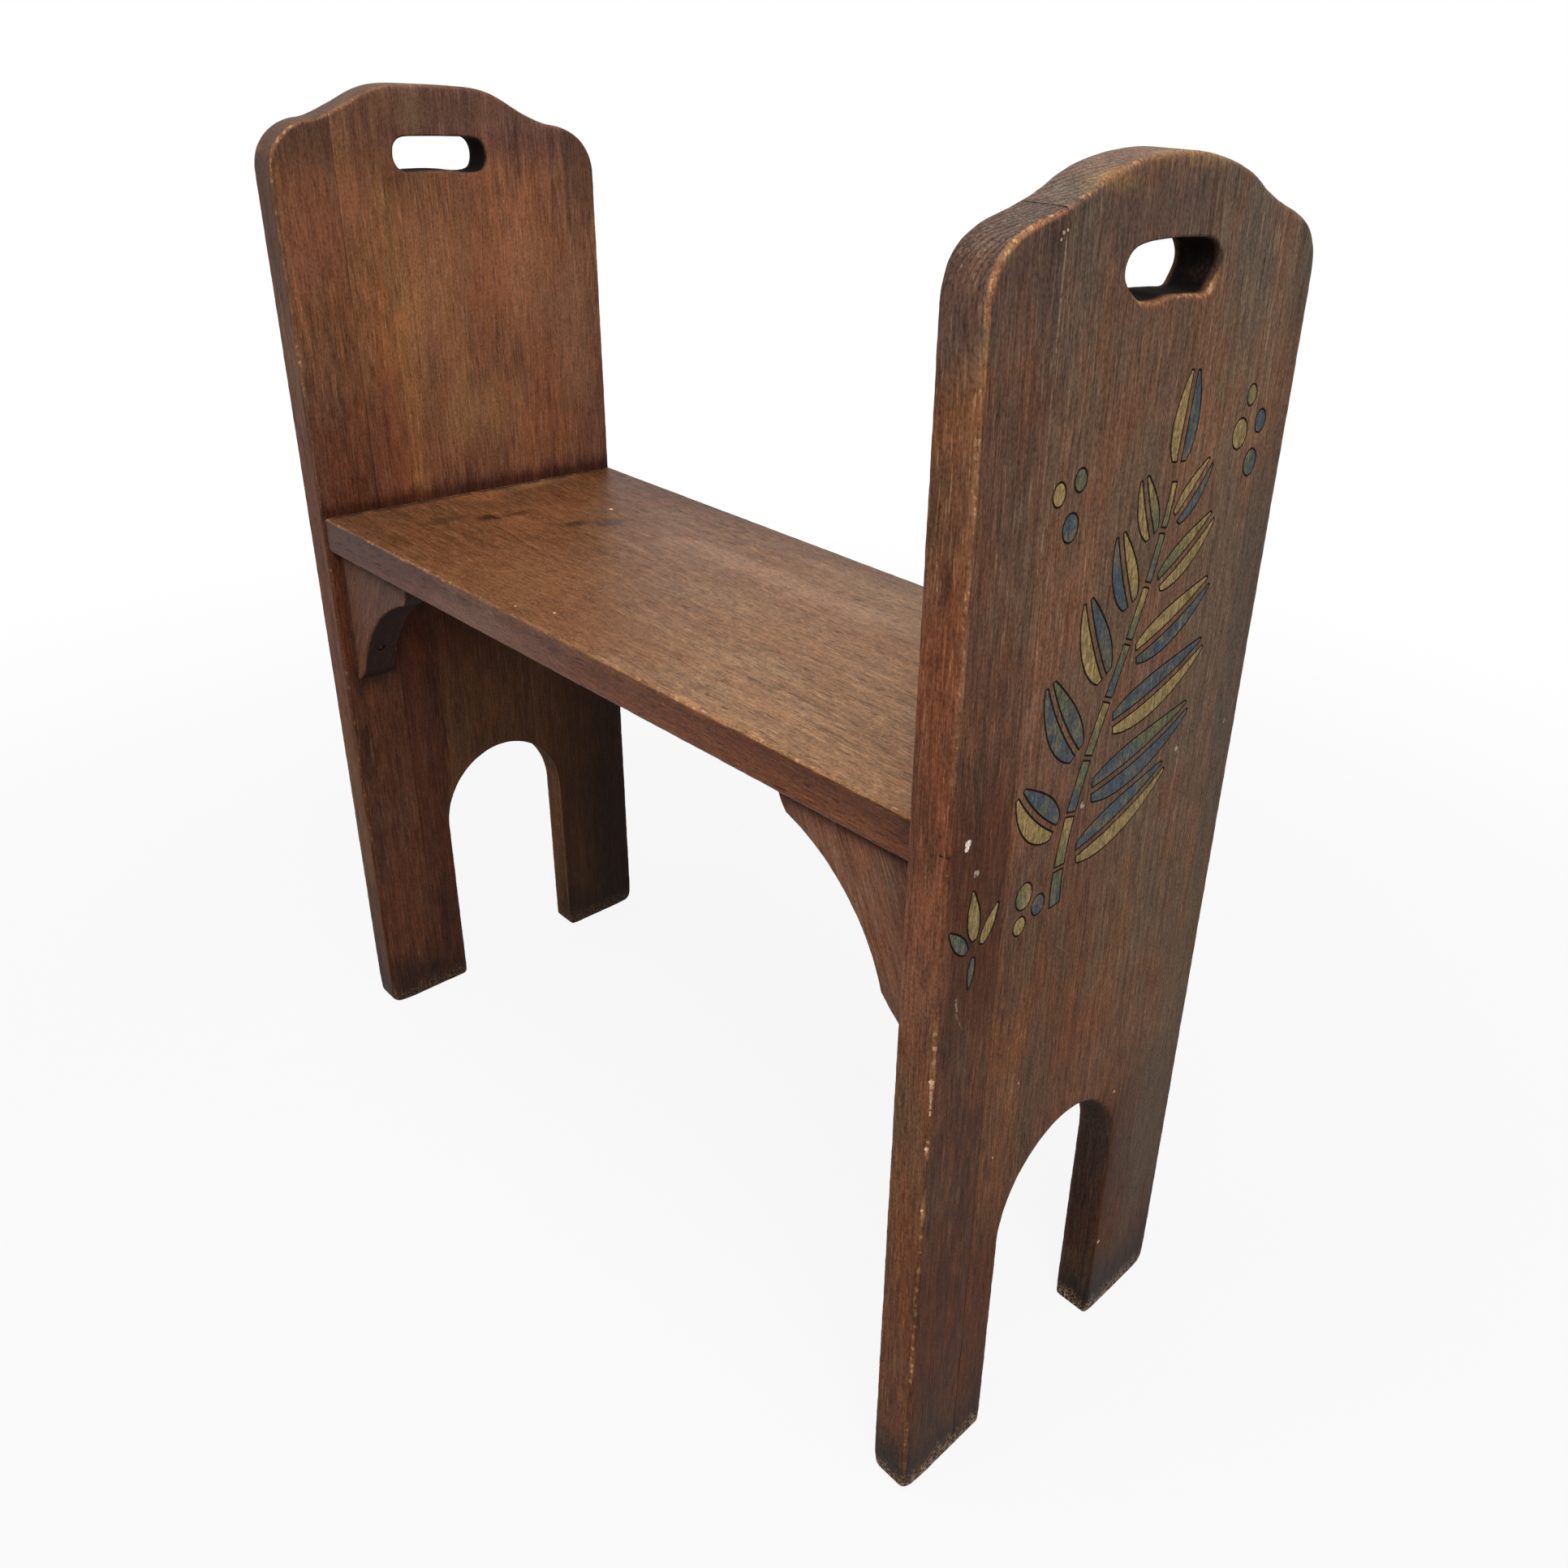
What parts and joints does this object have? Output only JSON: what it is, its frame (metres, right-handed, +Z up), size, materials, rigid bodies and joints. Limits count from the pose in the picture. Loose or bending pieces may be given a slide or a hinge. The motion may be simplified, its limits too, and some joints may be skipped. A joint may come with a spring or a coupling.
{
  "type": "wooden bench with slab ends",
  "caption": "Small wooden bench with tall slab ends that carry hand slots and leg arches, a plank seat nailed between them, and shaped brackets under the seat.",
  "frame": {"origin": "on the floor under the middle of the bench, at the bottom centre of its box", "axes": "+X along the seat towards the right end, -Y towards the front, +Z up"},
  "size_m": [0.628, 0.24, 0.713],
  "materials": {
    "panel_wood": "old dark stain, worn to bare wood along the arrises",
    "seat_wood": "old stain rubbed to a satin sheen",
    "bracket_wood": "old dark stain",
    "nail_iron": "dull iron",
    "putty": "pale filler"
  },
  "bodies": {
    "root": {"seat_board": "seat_wood", "left_front_board": "panel_wood", "left_main_board": "panel_wood", "right_front_board": "panel_wood", "right_main_board": "panel_wood", "left_front_bracket": "bracket_wood", "left_back_bracket": "bracket_wood", "right_front_bracket": "bracket_wood", "right_back_bracket": "bracket_wood", "left_seat_nail_1": "nail_iron", "left_seat_nail_2": "nail_iron", "left_seat_nail_3": "nail_iron", "left_seat_nail_4": "nail_iron", "right_seat_nail_1": "nail_iron", "right_seat_nail_2": "nail_iron", "right_seat_nail_3": "nail_iron", "right_seat_nail_4": "nail_iron", "left_putty_1": "putty", "left_putty_2": "putty", "left_putty_3": "putty", "left_putty_4": "putty", "right_putty_1": "putty", "right_putty_2": "putty", "right_putty_3": "putty", "right_putty_4": "putty", "left_front_bracket_seat_nail": "nail_iron", "left_front_bracket_panel_nail": "nail_iron", "left_back_bracket_seat_nail": "nail_iron", "left_back_bracket_panel_nail": "nail_iron", "right_front_bracket_seat_nail": "nail_iron", "right_front_bracket_panel_nail": "nail_iron", "right_back_bracket_seat_nail": "nail_iron", "right_back_bracket_panel_nail": "nail_iron"}
  },
  "joints": []
}
